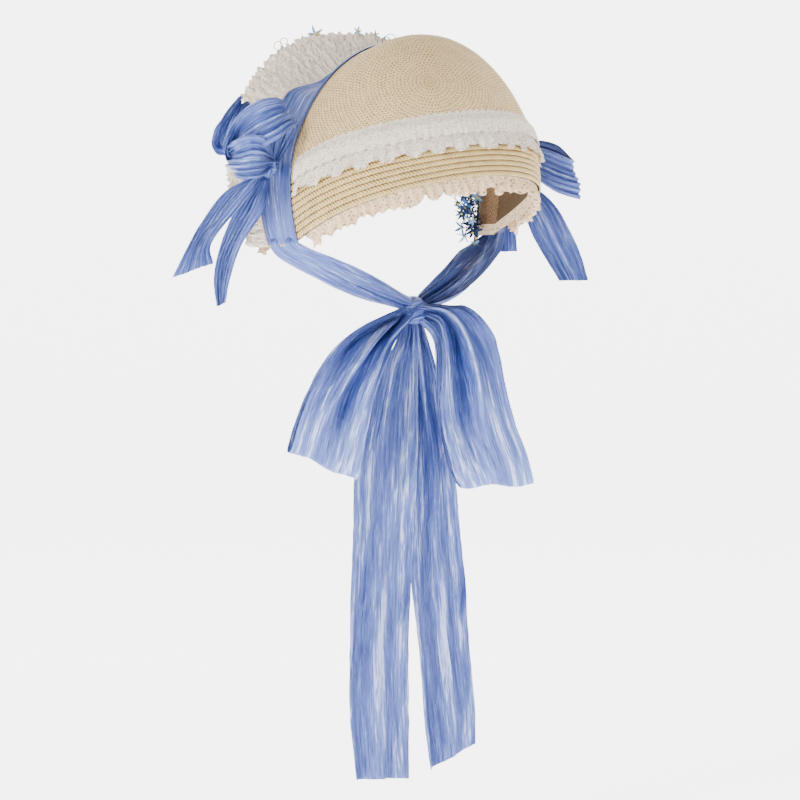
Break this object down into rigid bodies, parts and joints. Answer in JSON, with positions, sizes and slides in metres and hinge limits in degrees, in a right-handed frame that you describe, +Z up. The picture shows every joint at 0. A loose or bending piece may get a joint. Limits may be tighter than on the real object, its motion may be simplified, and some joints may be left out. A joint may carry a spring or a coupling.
{
  "type": "straw bonnet",
  "caption": "Straw bonnet with a lace-covered front brim, an ear-to-ear satin ribbon, a bow at each ear and a long bow tied under the chin.",
  "frame": {"origin": "inside the top of the crown, in the middle between the ears and above the seam of crown and front brim, where the hat sits on the head", "axes": "+Z up, the wearer's face looks along -Y, the wearer's left is +X"},
  "size_m": [0.3289, 0.2225, 0.6128],
  "materials": {
    "straw": "fine woven paper straw",
    "braid": "sewn rows of straw braid",
    "lace": "off-white cotton eyelet lace",
    "ribbon": "crinkled cornflower-blue satin organza",
    "flowers": "small cloth flowers on wire"
  },
  "bodies": {
    "root": {"crown": "straw", "back_brim": "braid", "front_brim": "straw", "ribbon_band": "ribbon", "lace_band_upper": "lace", "lace_band_lower": "lace", "edge_lace": "lace", "brim_ruffle_1": "lace", "brim_ruffle_2": "lace", "brim_ruffle_3": "lace", "tie_left": "ribbon", "tie_right": "ribbon", "chin_knot": "ribbon", "chin_loop_left": "ribbon", "chin_loop_right": "ribbon", "chin_tail_left": "ribbon", "chin_tail_right": "ribbon", "bow_left_loop_rear": "ribbon", "bow_left_loop_fore": "ribbon", "bow_left_loop_crest": "ribbon", "bow_left_tail_long": "ribbon", "bow_left_tail_wide": "ribbon", "bow_left_centre": "ribbon", "bow_right_loop_rear": "ribbon", "bow_right_loop_fore": "ribbon", "bow_right_tail_long": "ribbon", "bow_right_tail_wide": "ribbon", "bow_right_centre": "ribbon", "flowers_1": "flowers", "flowers_2": "flowers", "flowers_3": "flowers", "flowers_4": "flowers", "flowers_5": "flowers", "flowers_6": "flowers", "flowers_7": "flowers"}
  },
  "joints": []
}
